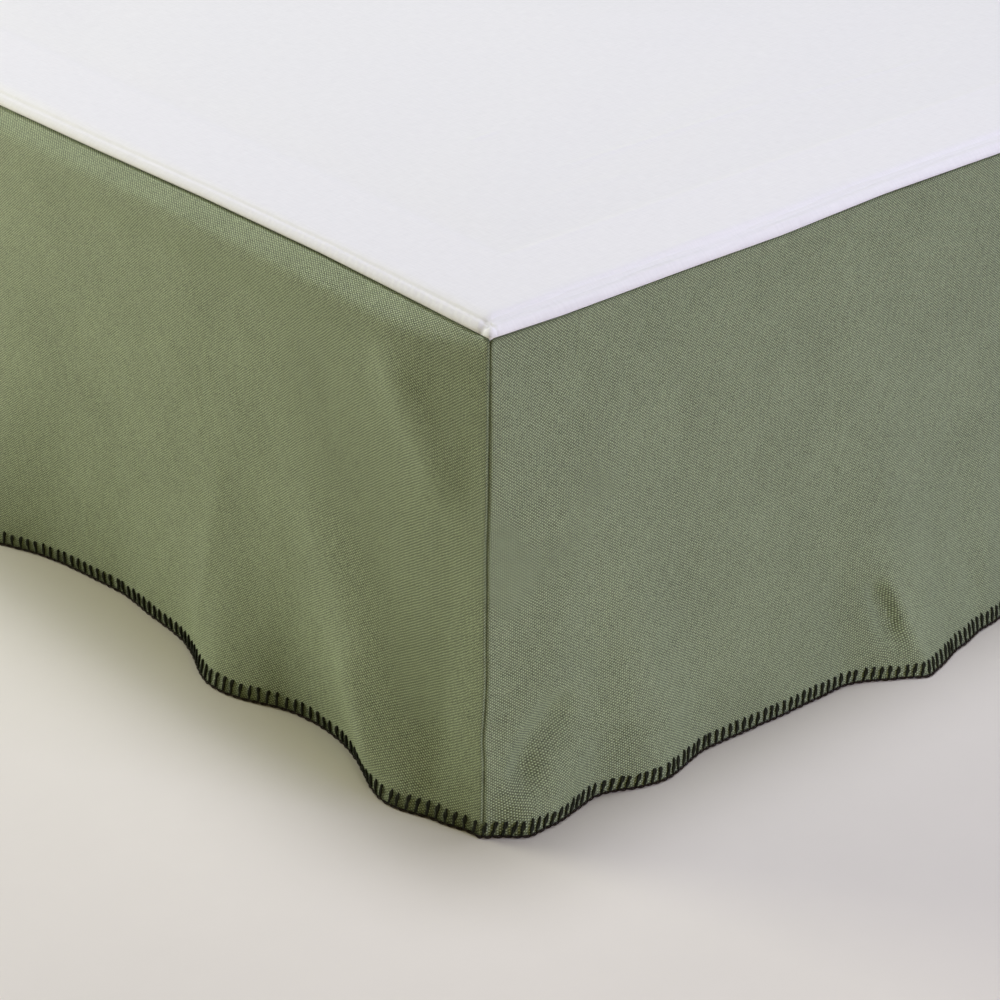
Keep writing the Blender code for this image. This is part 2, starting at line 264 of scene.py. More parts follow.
# Folds in the cotton where it turns down over an edge.
# Rows: (from along, to along, from down the roll, to down the roll, width, height)
ROLL_CREASES = {
    "left": ((0.020, 0.060, 0.010, 0.014, 0.0020, 0.0003),),
    "foot": (
        (0.140, 0.215, 0.0105, 0.0070, 0.0017, 0.0010),
        (0.285, 0.345, 0.0100, 0.0065, 0.0017, 0.0009),
        (0.030, 0.130, 0.0070, 0.0050, 0.0024, 0.0006),
        (0.070, 0.150, 0.0200, 0.0130, 0.0060, -0.0006),
        (0.190, 0.290, 0.0220, 0.0150, 0.0060, 0.0006),
        (0.340, 0.430, 0.0230, 0.0140, 0.0070, -0.0006),
        (0.470, 0.600, 0.0120, 0.0080, 0.0030, 0.0007),
        (0.760, 0.860, 0.0120, 0.0060, 0.0024, 0.0008),
        (1.050, 1.180, 0.0110, 0.0070, 0.0026, 0.0008),
    ),
    "right": (
        (0.120, 0.260, 0.0110, 0.0070, 0.0024, 0.0008),
        (0.620, 0.760, 0.0120, 0.0060, 0.0026, 0.0008),
        (1.200, 1.330, 0.0110, 0.0070, 0.0024, 0.0008),
    ),
}

# ---- The blanket stitch ----
STITCH_PITCH = {"left": 0.0084, "foot": 0.0067, "right": 0.0077}  # from leg to leg
STITCH_UNEVEN = 0.00045
STITCH_SEED = 11
STITCH_RISE = 0.0105  # height of a stitch's leg
STITCH_RISE_UNEVEN = 0.045
LEG_PLY = 0.00100  # half thickness of one of the leg's two plies
LEG_TWIST = (0.00076, 0.00030)  # the plies' sideways and outward offsets
LEG_DIVE = 0.0022  # how far its top goes into the canvas
LEG_START = 0.0004  # how far its foot leans out
BACK_PLY = 0.0008
BACK_ENTER = 0.0014
EDGE_PLY = 0.00058
EDGE_TWIST = 0.00062
EDGE_AXIS = 0.00135  # height of the edge yarn's axis above the floor
EDGE_OUT = 0.0011
EDGE_SLACK = 0.0007  # how far it swings out between two legs
# How far a leg's top leans along the side. Rows: (along, lean)
STITCH_LEAN = {
    "left": ((0.00, -0.0008), (0.10, 0.0004), (0.25, 0.0020), (0.40, 0.0030), (0.60, 0.0012)),
    "foot": ((0.00, 0.0030), (0.20, 0.0034), (0.45, 0.0034), (0.60, 0.0020)),
    "right": ((0.00, 0.0020), (0.60, 0.0030), (1.20, 0.0015)),
}

# ---- The camera ----
PICTURE = 1000  # the picture's side in pixels
LENS_PIXELS = 3000
SENSOR = 36.0
CAMERA_PITCH = math.radians(27.892)
CAMERA_TURN = math.radians(41.340)
CORNER_PIXEL = (490.0, 339.5)  # where the picture shows the top of the corner seam
CORNER_DISTANCE = 2.1474  # from the camera to that point, along the view


def share_of(x):
    return np.clip(x, 0.0, 1.0)


def smoothstep(x):
    x = share_of(x)
    return x * x * (3 - 2 * x)


def unit(vectors):
    return vectors / np.linalg.norm(vectors, axis=-1, keepdims=True)


# ---- The cloth's shape ----

TURN = 2 * math.pi


def seam_angle(side, u):
    """Where the seam lies on the rolled edge: 0 is the hanging face, a right angle the deck."""
    alongs, drops = np.array(SEAM_DROP[side]).T
    last = drops[0] if side == "foot" else drops[-1]
    angles = np.arcsin(1 - np.append(drops, last) / ROLL_RADIUS)
    return np.interp(u, np.append(alongs, SIDE_LENGTH[side]), angles)


def corner_distance(side, u):
    return np.minimum(u, SIDE_LENGTH[side] - u) if side == "foot" else u


def corner_ramp(side, u, reach):
    """0 at a corner seam, 1 from reach onwards."""
    return smoothstep(corner_distance(side, u) / reach)


def corner_leans(side, u, t):
    """How far the nearer corner seam leans out: square to this side, and along it."""
    rise = t**FLARE_POWER
    wander = sum(shift * np.exp(-(((t - at) / spread) ** 2)) for at, spread, shift in SEAM_WANDER)
    leans = {}
    for corner, (square_side, square_foot) in SEAM_LEAN.items():
        leans[corner] = (square_side * rise - wander, square_foot * rise + wander)
    if side != "foot":
        return leans[side]
    near_left = u < SIDE_LENGTH["foot"] / 2
    return [np.where(near_left, leans["left"][i], leans["right"][i]) for i in (1, 0)]


def crease(x, y, x0, y0, x1, y1, width, height, bow=0.0):
    """A soft ridge from one point to another, which fades at both ends."""
    length = math.hypot(x1 - x0, y1 - y0)
    run = ((x - x0) * (x1 - x0) + (y - y0) * (y1 - y0)) / length**2
    away = ((x - x0) * (y1 - y0) - (y - y0) * (x1 - x0)) / length
    inside = share_of(run)
    away = away - bow * 4 * inside * (1 - inside)
    fade = smoothstep(run / CREASE_FADE) * smoothstep((1 - run) / CREASE_FADE)
    return height * fade * np.exp(-((away / width) ** 2))


def wrinkles(u, down):
    count, shortest, longest, turn, spread, slope = WRINKLES
    rng = np.random.default_rng(WRINKLE_SEED)
    height = 0.0
    for _ in range(count):
        length = rng.uniform(shortest, longest)
        angle = math.radians(rng.normal(turn, spread))
        run = (u * math.cos(angle) + down * math.sin(angle)) / length
        height = height + length * np.sin(TURN * run + rng.uniform(0, TURN))
    return height * slope / TURN * math.sqrt(2 / count)


def panel_relief(side, u, t):
    """Creases and unevenness of a hanging panel, beyond its folds."""
    down = HANG * t
    relief = wrinkles(u, down)
    for u0, t0, u1, t1, *form in PANEL_CREASES[side]:
        relief += crease(u, down, u0, HANG * t0, u1, HANG * t1, *form)
    for length, turn, phase, height in PANEL_WAVES:
        turn = math.radians(turn)
        run = (u * math.cos(turn) + down * math.sin(turn)) / length
        drift = 1.2 * np.sin(TURN * down / 0.23 + 2 * phase) + np.sin(TURN * u / 0.37)
        patchy = 0.5 + 0.5 * np.sin(TURN * (u / 0.31 + down / 0.43) + 3 * phase)
        relief += height * patchy * np.sin(TURN * run + phase + drift)
    return relief * corner_ramp(side, u, CORNER_HOLD) * smoothstep(t / RELIEF_START)


def hang_out(side, u, t):
    """How far the panel's outer face stands out at share t of the hanging height."""
    flare, spread = SIDE_FLARE[side]
    own, _ = corner_leans(side, u, t)
    reach = spread * (1 + SPREAD_ABOVE * (1 - t))
    out = own + (flare * t**FLARE_POWER - own) * corner_ramp(side, u, reach)
    folds = 0.0
    for along, width, crest, rise, lean in FOLDS[side]:
        offset = (u - along - lean * (1 - t)) / width
        folds = folds + crest * np.exp(-offset * offset) * t**rise
    return out + folds * corner_ramp(side, u, CORNER_HOLD) + panel_relief(side, u, t)


def tuck(distance):
    """How far the cloth turns in, this far from a seam."""
    return SEAM_TUCK * share_of(1 - distance / SEAM_TUCK_REACH) ** 2


def puff(side, u, t, below):
    """How far the cloth bulges past its seams, at this drop below the top seam."""
    height, rise, top_reach, narrowing, least_reach, gone, under, under_drop = PANEL_PUFF[side]
    reach = np.maximum(top_reach - narrowing * t, least_reach)
    share = share_of(corner_distance(side, u) / reach)
    beside = share * (1.25 - 0.25 * share**4)
    bulge = height * (1 - np.exp(-((below / rise) ** 2))) * share_of(1 - t / gone) ** 1.5
    tucked = under * below / under_drop * np.exp(1 - below / under_drop)
    return (bulge - tucked) * beside


def wrap(side, u, corner_out):
    """The place along the side, fanned so that a corner's column lies in the mitre."""
    shift = MITRE_GAP - corner_out
    along = u + shift * share_of(1 - u / CORNER_WRAP)
    if side == "foot":
        along = along - shift * share_of(1 - (SIDE_LENGTH[side] - u) / CORNER_WRAP)
    return along


def place(side, along, out, up):
    """From along a side, outward and up from the deck's top to the model's frame."""
    points = {
        "left": (-out, along, up),
        "foot": (along, -out, up),
        "right": (2 * HALF_WIDTH + out, along, up),
    }
    return np.stack(np.broadcast_arrays(*points[side]), axis=-1) + ORIGIN


def panel_points(side, u, v, depth=0.0, lift=0.0):
    """Points of a panel: v is -1 at the top seam, 0 at the end of the roll and 1 at the hem."""
    share = np.maximum(-v, 0.0)
    t = np.maximum(v, 0.0)
    top_angle = seam_angle(side, u) - GAP_ANGLE
    corner_angle = (seam_angle(side, 0.0) - GAP_ANGLE) * share
    angle = top_angle * share
    seam_distance = np.where(v < 0, top_angle * (1 - share) * ROLL_RADIUS, SEAM_TUCK_REACH)
    depth = depth + tuck(corner_distance(side, u)) + tuck(seam_distance)
    radius = ROLL_RADIUS - depth
    _, neighbour = corner_leans(side, u, t)
    rolled_corner = -ROLL_RADIUS + radius * np.cos(corner_angle)
    corner_out = np.where(v < 0, rolled_corner, neighbour - depth)
    along = wrap(side, u, corner_out)
    below = ROLL_RADIUS * (np.sin(top_angle) - np.sin(angle)) + HANG * t
    rolled_out = -ROLL_RADIUS + radius * np.cos(angle)
    out = np.where(v < 0, rolled_out, hang_out(side, u, t) - depth) + puff(side, u, t, below)
    rolled_up = -ROLL_RADIUS + radius * np.sin(angle)
    up = np.where(v < 0, rolled_up, -ROLL_RADIUS - (HANG - HEM_LIFT) * t)
    return place(side, along, out, up + lift)


# ---- Meshes ----


def graded(length, zones, both_ends):
    """Stations from 0 to length: close at a seam, then by zones, each an end and a spacing."""
    close = [0.0, 0.0005, 0.0011, 0.0018, 0.0026] + [0.0035 + 0.0011 * i for i in range(14)]
    stop = length - close[-1] if both_ends else length
    stations = list(close)
    for end, spacing in zones:
        end = end or stop
        count = max(1, round((end - stations[-1]) / spacing))
        stations += list(np.linspace(stations[-1], end, count + 1)[1:])
    ends = [length - x for x in close[-2::-1]] if both_ends else []
    return np.array(stations + ends)


def picks(count, step):
    """Every step-th place in a run, with the last."""
    return np.append(np.arange(0, count - 1, step), count - 1)


def numbers(grid, start=0):
    """The numbers of a grid's points."""
    columns, rows = grid.shape[:2]
    return start + np.arange(columns * rows).reshape(columns, rows)


def quads(ids):
    """Faces of a grid of points from the points' numbers."""
    corners = (ids[:-1, :-1], ids[1:, :-1], ids[1:, 1:], ids[:-1, 1:])
    return np.stack(corners, axis=-1).reshape(-1, 4).tolist()


def ring_faces(ids):
    """Faces of a closed tube: between its rings, then its first and its last end."""
    around = np.pad(ids, ((0, 0), (0, 1)), mode="wrap")
    return quads(around) + [ids[0].tolist(), ids[-1].tolist()]


def closed_mesh(name, points, faces):
    """A smooth mesh with its faces turned outward."""
    mesh = bpy.data.meshes.new(name)
    mesh.from_pydata(points.reshape(-1, 3).tolist(), [], faces)
    bm = bmesh.new()
    bm.from_mesh(mesh)
    bmesh.ops.recalc_face_normals(bm, faces=bm.faces)
    bm.to_mesh(mesh)
    bm.free()
    mesh.shade_smooth()
    return mesh


def turned_mesh(name, grid, slots, sharp):
    """A closed mesh from a grid of rings. Edges sharper than this angle stay sharp."""
    mesh = closed_mesh(name, grid, ring_faces(numbers(grid)))
    mesh.polygons.foreach_set("material_index", slots)
    mesh.set_sharp_from_angle(angle=math.radians(sharp))
    return mesh


def add_object(name, data):
    ob = bpy.data.objects.new(name, data)
    bpy.context.collection.objects.link(ob)
    return ob


def link_object(name, mesh, materials):
    for material in materials:
        mesh.materials.append(material)
    return add_object(name, mesh)


def set_uv(mesh, coords):
    """A UV map in metres from one pair for each vertex."""
    layer = mesh.uv_layers.new(name="cloth")
    loops = np.empty(len(mesh.loops), dtype=np.int64)
    mesh.loops.foreach_get("vertex_index", loops)
    layer.data.foreach_set("uv", coords[loops].astype(np.float32).ravel())


def sheet_mesh(name, outer, inner, step, uv):
    """A closed cloth from a fine outer grid and an inner one with every step-th line of it."""
    col_picks, row_picks = picks(len(outer), step), picks(outer.shape[1], step)
    chosen = np.ix_(col_picks, row_picks)
    inner, inner_uv = inner[chosen], uv[chosen]
    top = numbers(outer)
    under = numbers(inner, top.size)
    faces = quads(top) + [face[::-1] for face in quads(under)]
    edges = (
        (top[0], under[0], row_picks),
        (top[-1], under[-1], row_picks),
        (top[:, 0], under[:, 0], col_picks),
        (top[:, -1], under[:, -1], col_picks),
    )
    for fine, coarse, joined in edges:
        for i, (a, b) in enumerate(zip(joined, joined[1:])):
            faces.append([*fine[a : b + 1].tolist(), int(coarse[i + 1]), int(coarse[i])])
    points = np.concatenate((outer.reshape(-1, 3), inner.reshape(-1, 3)))
    mesh = closed_mesh(name, points, faces)
    set_uv(mesh, np.concatenate((uv.reshape(-1, 2), inner_uv.reshape(-1, 2))))
    return mesh


def run_lengths(points, axis):
    """Distance walked along one axis of a grid of points."""
    steps = np.diff(points, axis=axis, prepend=np.take(points, [0], axis=axis))
    return np.cumsum(np.linalg.norm(steps, axis=-1), axis=axis)


# ---- Panels ----

# The panels' rows on the rolled edge, as shares of the turn from its end to the seam
ROLL_SHARES = (1.0, 0.965, 0.925, 0.88, 0.83, 0.77, 0.70, 0.60, 0.49, 0.37, 0.25, 0.12)
HANG_ROWS = 76
PANEL_GRID = {
    "left": ((0.70, 0.0042), (None, 0.008)),
    "foot": ((0.60, 0.0042), (None, 0.008)),
    "right": ((0.10, 0.006), (None, 0.008)),
}


def make_panel(side, material):
    u = graded(SIDE_LENGTH[side], PANEL_GRID[side], side == "foot")
    v = np.concatenate((-np.array(ROLL_SHARES), np.linspace(0.0, 1.0, HANG_ROWS + 1)))
    grid_u, grid_v = np.meshgrid(u, v, indexing="ij")
    outer = panel_points(side, grid_u, grid_v)
    inner = panel_points(side, grid_u, grid_v, depth=PANEL_THICK)
    hem_middle = panel_points(side, u, np.ones_like(u), PANEL_THICK / 2, -HEM_ROUND)
    outer = np.concatenate((outer, hem_middle[:, None, :]), axis=1)
    inner = np.concatenate((inner, inner[:, -1:, :]), axis=1)
    uv = np.stack((np.broadcast_to(u[:, None], outer.shape[:2]), run_lengths(outer, 1)), axis=-1)
    name = "canvas_panel_" + side
    ob = link_object(name, sheet_mesh(name, outer, inner, 2, uv), [material])
    ob["flat_drop"] = float(uv[..., 1].max(axis=1).mean())
    return ob


# ---- Deck ----


def roll_arc(side, u, inset):
    """Distance along the rolled cloth from the seam, at this inset from the side's face."""
    inset = np.maximum(inset, 0.0)
    angle = np.arccos(share_of(1 - inset / ROLL_RADIUS))
    past = np.maximum(inset - ROLL_RADIUS, 0.0)
    return (angle - seam_angle(side, u)) * ROLL_RADIUS + past


def nearest_edge(x, y):
    return np.minimum(np.minimum(x, y), 2 * HALF_WIDTH - x)


def deck_relief(x, y):
    """Height of the deck's cloth above its plain form, from the left and the foot faces."""
    places = {"left": (y, x), "foot": (x, y), "right": (y, 2 * HALF_WIDTH - x)}
    nearest = nearest_edge(x, y)
    relief = BORDER_RISE * smoothstep((BORDER_WIDTH + BORDER_EDGE / 2 - nearest) / BORDER_EDGE)
    welt = (nearest - BORDER_WIDTH + BORDER_WELT_INSET) / BORDER_WELT_WIDTH
    relief += BORDER_WELT * np.exp(-(welt**2))
    relief += BORDER_RISE * smoothstep((y - SIDE_LENGTH["left"] + HEAD_HEM) / 0.003)
    for row in DECK_CREASES:
        relief += crease(x, y, *row)
    wave = np.sin(TURN * x / 0.31 + 2 * np.sin(TURN * y / 0.53))
    inner = smoothstep((nearest - BORDER_WIDTH) / 0.05)
    relief += DECK_WAVE * (1 + wave * np.sin(TURN * y / 0.37 + 1.0)) * inner
    for side, (u, inset) in places.items():
        arc = roll_arc(side, u, inset)
        relief += roll_relief(side, u, arc) - 0.5 * tuck(arc)
    return relief


def roll_relief(side, u, arc):
    """The seam allowance's ridge and groove, puckers and small folds beside the seam."""
    width, height, depth, groove_width = SEAM_ALLOWANCE[side]
    ridge = smoothstep((width - arc) / 0.002 + 0.5) * (1 - 0.65 * share_of(arc / width))
    groove = np.exp(-(((arc - width - groove_width) / groove_width) ** 2))
    pucker = np.sin(TURN * (u - 0.7 * arc) / PUCKER_PITCH + 1.5 * np.sin(u / 0.021))
    near = smoothstep((width + 0.006 - arc) / 0.006)
    where = 0.35 + 0.65 * smoothstep((0.34 - u) / 0.08) if side == "left" else 0.35
    relief = height * ridge - depth * groove + PUCKER_RISE * pucker * near * where
    for u0, u1, arc0, arc1, width, height in ROLL_CREASES[side]:
        relief += crease(u, arc, u0, arc0, u1, arc1, width, height)
    return relief


def deck_form(x, y):
    """Plain height of the deck relative to its flat top, rolled down at three edges."""
    drop = np.clip(ROLL_RADIUS - nearest_edge(x, y), 0.0, ROLL_RADIUS)
    return -ROLL_RADIUS + np.sqrt(ROLL_RADIUS**2 - drop**2)


def seam_inset(side, u):
    return ROLL_RADIUS * (1 - np.cos(seam_angle(side, u) + GAP_ANGLE))


DECK_ACROSS = ((0.62, 0.0046), (None, 0.012))
DECK_ALONG = ((0.36, 0.0023), (0.68, 0.0046), (None, 0.015))


def deck_plan():
    """Plan distances from the left and the foot faces, with outer lines on the seams."""
    width = 2 * HALF_WIDTH
    first = float(seam_inset("left", 0.0))
    a = graded(width - 2 * first, DECK_ACROSS, True)
    c = graded(SIDE_LENGTH["left"] - first, DECK_ALONG, False)
    a, c = np.meshgrid(a, c, indexing="ij")
    b = width - 2 * first - a
    fade_a, fade_b, fade_c = (share_of(1 - d / 0.1) for d in (a, b, c))
    x = first + a + (seam_inset("left", c) - first) * fade_a
    x = x - (seam_inset("right", c) - first) * fade_b
    y = first + c + (seam_inset("foot", a) - first) * fade_c
    return x, y


def make_deck(material):
    x, y = deck_plan()
    form = np.stack((x, y, deck_form(x, y)), axis=-1) + ORIGIN
    normals = unit(np.cross(np.gradient(form, axis=0), np.gradient(form, axis=1)))
    outer = form + normals * deck_relief(x, y)[..., None]
    inner = form - normals * DECK_THICK
    mesh = sheet_mesh("cotton_deck", outer, inner, 4, np.stack((x, y), axis=-1))
    border = smoothstep((BORDER_WIDTH + 0.004 - nearest_edge(x, y)) / 0.008)
    tone = np.zeros(len(mesh.vertices), dtype=np.float32)
    tone[: x.size] = border.ravel()
    mesh.attributes.new("border", "FLOAT", "POINT").data.foreach_set("value", tone)
    return link_object("cotton_deck", mesh, [material])


# ---- Yarn ----


def tube(path, radius, sides):
    """Rings of points round a path."""
    tangent = unit(np.gradient(path, axis=0))
    across = np.cross(tangent, (0.0, 0.0, 1.0))
    upright = np.linalg.norm(across, axis=1) < 0.2
    across[upright] = np.cross(tangent[upright], (1.0, 0.0, 0.0))
    return rings(path, tangent, unit(across), radius, sides)


def rings(path, tangent, across, radius, sides):
    """Rings of points round a path. The radius is one number, or one for each point."""
    third = np.cross(tangent, across)
    angles = np.arange(sides) * TURN / sides
    radius = np.broadcast_to(radius, len(path))[:, None, None]
    circle = across[:, None, :] * np.cos(angles)[None, :, None]
    circle = circle + third[:, None, :] * np.sin(angles)[None, :, None]
    return path[:, None, :] + radius * circle


def join_tubes(name, tubes, materials):
    """One piece of many closed tubes. Rows: (rings, material's place, phase round the tube)."""
    faces, slots, uv, count = [], [], [], 0
    for grid, slot, phase in tubes:
        length, sides = grid.shape[:2]
        faces += ring_faces(numbers(grid, count))
        slots += [slot] * ((length - 1) * sides + 2)
        walked = run_lengths(grid.mean(axis=1), 0)
        turn = np.arange(sides) / sides + phase
        pairs = np.stack(np.broadcast_arrays(turn[None, :], walked[:, None]), axis=-1)
        uv.append(pairs.reshape(-1, 2))
        count += length * sides
    points = np.concatenate([grid.reshape(-1, 3) for grid, _, _ in tubes])
    mesh = closed_mesh(name, points, faces)
    mesh.polygons.foreach_set("material_index", slots)
    set_uv(mesh, np.concatenate(uv))
    return link_object(name, mesh, materials)


def stitch_places(side, rng):
    """Stations of the stitches' legs, at even steps along the hem, a little uneven."""
    length = SIDE_LENGTH[side]
    count = round(length / STITCH_PITCH[side])
    station = np.linspace(0.0, length, 4 * count + 1)
    hem = panel_points(side, station, np.ones_like(station))
    walked = run_lengths(hem, 0)
    u = np.interp(np.linspace(0.0, walked[-1], count + 1), walked, station)
    u[1:-1] += rng.normal(0.0, STITCH_UNEVEN, count - 1)
    return u if side == "foot" else u[1:]


def hem_outward(side, u):
    """The level direction outward at one station of the hem."""
    step = 0.0015
    ends = np.clip((u - step, u + step), 0.0, SIDE_LENGTH[side])
    before, after = panel_points(side, ends, np.ones(2))
    outward = np.cross(unit(after - before), (0.0, 0.0, 1.0))
    return -outward if side == "left" else outward


def add_leg(tubes, side, u, lean, rise, phase, wobble):
    """A stitch's front leg: two plies that climb from the edge and dive into the canvas."""
    q = np.linspace(0.0, 1.0, 11)
    drop = share_of(1 - (rise * q + 0.0004) / (HANG - HEM_LIFT))
    bulge = LEG_PLY * (0.45 + 0.60 * np.sin(math.pi * np.clip(q * 1.02, 0, 1)) ** 0.6)
    dive = smoothstep((q - 0.88) / 0.12) * LEG_DIVE
    start = smoothstep((0.12 - q) / 0.12) * LEG_START
    station = np.clip(u + lean * q**1.1 + wobble * np.sin(math.pi * q), 0.0, SIDE_LENGTH[side])
    axis = panel_points(side, station, drop, -(bulge - dive + start))
    tangent = unit(np.gradient(axis, axis=0))
    across = unit(np.cross(tangent, hem_outward(side, max(u + lean / 2, 0.003))))
    normal = np.cross(across, tangent)
    fuller = smoothstep(q / 0.7)
    taper = np.sqrt(np.clip(1 - ((q - 0.5) / 0.53) ** 6, 0.05, 1.0))
    radius = LEG_PLY * (0.72 + 0.32 * fuller) * taper
    for ply in (0, 1):
        turn = phase + math.pi * ply + TURN * 0.75 * q
        offset = across * (LEG_TWIST[0] * (0.60 + 0.50 * fuller) * np.cos(turn))[:, None]
        offset = offset + normal * (LEG_TWIST[1] * np.sin(turn))[:, None]
        tubes.append((rings(axis + offset, tangent, across, radius, 7), 0, 0.5 * ply))


def add_back_leg(tubes, side, u, lean, rise):
    """The same stitch behind the canvas, from its hole down to the edge."""
    q = np.linspace(0.0, 1.0, 6)
    drop = share_of(1 - rise * (1 - q) / (HANG - HEM_LIFT))
    enter = smoothstep((0.2 - q) / 0.2) * BACK_ENTER
    station = np.clip(u + lean * (1 - q), 0.0, SIDE_LENGTH[side])
    path = panel_points(side, station, drop, PANEL_THICK + BACK_PLY - enter)
    tubes.append((tube(path, BACK_PLY, 6), 0, 0.0))


def add_edge(tubes, side, places, rng):
    """Two strands that twist round each other along the hem, drawn in at each leg."""
    knots = np.concatenate(([0.0], places)) if places[0] > 0 else places
    part = np.arange(8) / 8
    u = np.append(knots[:-1, None] + np.diff(knots)[:, None] * part, SIDE_LENGTH[side])
    slack = rng.uniform(0.4, 1.2, (len(knots) - 1, 1)) * np.sin(math.pi * part)
    slack = np.append(slack, 0.0)
    axis = panel_points(side, u, np.ones_like(u), PANEL_THICK / 2 - EDGE_OUT - EDGE_SLACK * slack)
    axis[:, 2] = EDGE_AXIS
    tangent = unit(np.gradient(axis, axis=0))
    across = unit(np.cross(tangent, (0.0, 0.0, 1.0)))
    turns = np.interp(u, knots, np.arange(len(knots)) * math.pi)
    for ply in (0, 1):
        turn = turns + math.pi * ply
        offset = across * (EDGE_TWIST * np.cos(turn))[:, None]
        offset[:, 2] += EDGE_TWIST * np.sin(turn)
        tubes.append((rings(axis + offset, tangent, across, EDGE_PLY, 6), 1, 0.5 * ply))


def make_stitching(side, materials, seed):
    rng = np.random.default_rng(seed)
    places = stitch_places(side, rng)
    tubes = []
    alongs, leans = zip(*STITCH_LEAN[side])
    for u in places:
        lean = np.interp(u, alongs, leans) + rng.normal(0.0, 0.0005)
        rise = STITCH_RISE * rng.normal(1.0, STITCH_RISE_UNEVEN)
        phase = rng.uniform(0, TURN)
        add_leg(tubes, side, u, lean, rise, phase, rng.normal(0.0, 0.00025))
        add_back_leg(tubes, side, u, lean, rise)
    add_edge(tubes, side, places, rng)
    return join_tubes("blanket_stitch_" + side, tubes, materials)


# ---- Base and legs ----


def rounded_ring(inset, z, straight_steps, puff=0.0):
    """A rectangle with rounded corners, inset from the base's sides, with straight stretches."""
    radius = BASE_CORNER_RADIUS - inset
    corner = np.array((BED_WIDTH, BED_LENGTH)) / 2 - BASE_CORNER_RADIUS
    ring = []
    corners = np.array(((1, 1), (-1, 1), (-1, -1), (1, -1))) * corner
    for quarter, centre in enumerate(corners):
        angles = math.pi / 2 * (quarter + np.arange(BASE_ARC + 1) / BASE_ARC)
        outward = np.stack((np.cos(angles), np.sin(angles)), axis=-1)
        ring += list(centre + radius * outward)
        start = ring[-1]
        end = corners[(quarter + 1) % 4] + radius * outward[-1]
        for part in np.arange(1, straight_steps) / straight_steps:
            bulge = puff * math.sin(math.pi * part) ** 0.5
            ring.append(start + (end - start) * part + outward[-1] * bulge)
    ring = np.array(ring) + (BED_X, BED_Y)
    return np.column_stack((ring, np.full(len(ring), z)))


BASE_ARC = 10  # steps of a rounded edge
BASE_PUFF = 0.0009
BASE_STRAIGHT = 24  # steps of a side
DUST_COVER_INSET = 0.030
PIPING_RADIUS = 0.003


def base_levels():
    """Insets, heights and puff shares of the base's rings from the floor side to the top."""
    low = BASE_BOTTOM + BASE_LOWER_RADIUS
    high = BASE_TOP - BASE_EDGE_RADIUS
    turns = np.linspace(0.0, math.pi / 2, BASE_ARC + 1)
    arc = np.stack((1 - np.cos(turns), np.sin(turns)), axis=-1)
    levels = [(DUST_COVER_INSET, BASE_BOTTOM, 0.0)]
    levels += [(BASE_LOWER_RADIUS * x, low - BASE_LOWER_RADIUS * z, 0.0) for x, z in arc[::-1]]
    for part in np.arange(1, 14) / 14:
        levels.append((0.0, low + (high - low) * part, math.sin(math.pi * part)))
    return levels + [(BASE_EDGE_RADIUS * x, high + BASE_EDGE_RADIUS * z, 0.0) for x, z in arc]


def make_base(upholstery, dust_cover):
    rows = [rounded_ring(x, z, BASE_STRAIGHT, BASE_PUFF * puff) for x, z, puff in base_levels()]
    grid = np.array(rows)
    slots = [0] * ((len(grid) - 1) * grid.shape[1]) + [1, 0]
    mesh = turned_mesh("upholstered_base", grid, slots, 50)
    return link_object("upholstered_base", mesh, [upholstery, dust_cover])


def make_piping(material):
    """A corded edge round the bottom of the base."""
    loop = rounded_ring(0.0, BASE_BOTTOM + BASE_LOWER_RADIUS + PIPING_RADIUS, 60)
    tangent = unit(np.roll(loop, -1, axis=0) - np.roll(loop, 1, axis=0))
    across = np.cross(tangent, (0.0, 0.0, 1.0))
    grid = rings(loop, tangent, across, PIPING_RADIUS, 12)
    faces = quads(np.pad(numbers(grid), ((0, 1), (0, 1)), mode="wrap"))
    return link_object("base_piping", closed_mesh("base_piping", grid, faces), [material])


LEG_SIDES = 64
LEG_STEPS = 12
LEG_PROFILE = (  # Rows: (radius, height, material: 0 wood, 1 felt)
    (0.0001, 0.0000, 1),
    (LEG_FOOT_RADIUS - 0.0035, 0.0000, 1),
    (LEG_FOOT_RADIUS - 0.0028, 0.0006, 1),
    (LEG_FOOT_RADIUS - 0.0028, 0.0026, 1),
    (LEG_FOOT_RADIUS - 0.0022, 0.0028, 0),
    (LEG_FOOT_RADIUS - 0.0008, 0.0034, 0),
    (LEG_FOOT_RADIUS, 0.0050, 0),
)


def make_leg(name, wood, felt):
    low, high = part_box("bed_leg_" + name)
    rows = list(LEG_PROFILE)
    for z in np.linspace(rows[-1][1], LEG_HEIGHT, LEG_STEPS + 1)[1:]:
        radius = LEG_FOOT_RADIUS + (LEG_TOP_RADIUS - LEG_FOOT_RADIUS) * z / LEG_HEIGHT
        rows.append((radius, z, 0))
    path = np.array([((low.x + high.x) / 2, (low.y + high.y) / 2, z) for _, z, _ in rows])
    up, across = np.zeros((2, len(rows), 3))
    up[:, 2] = across[:, 0] = 1.0
    grid = rings(path, up, across, [row[0] for row in rows], LEG_SIDES)
    slots = [row[2] for row in rows[1:] for _ in range(LEG_SIDES)] + [1, 0]
    return link_object("beech_leg_" + name, turned_mesh("beech_leg", grid, slots, 35), [wood, felt])


# ---- Materials ----


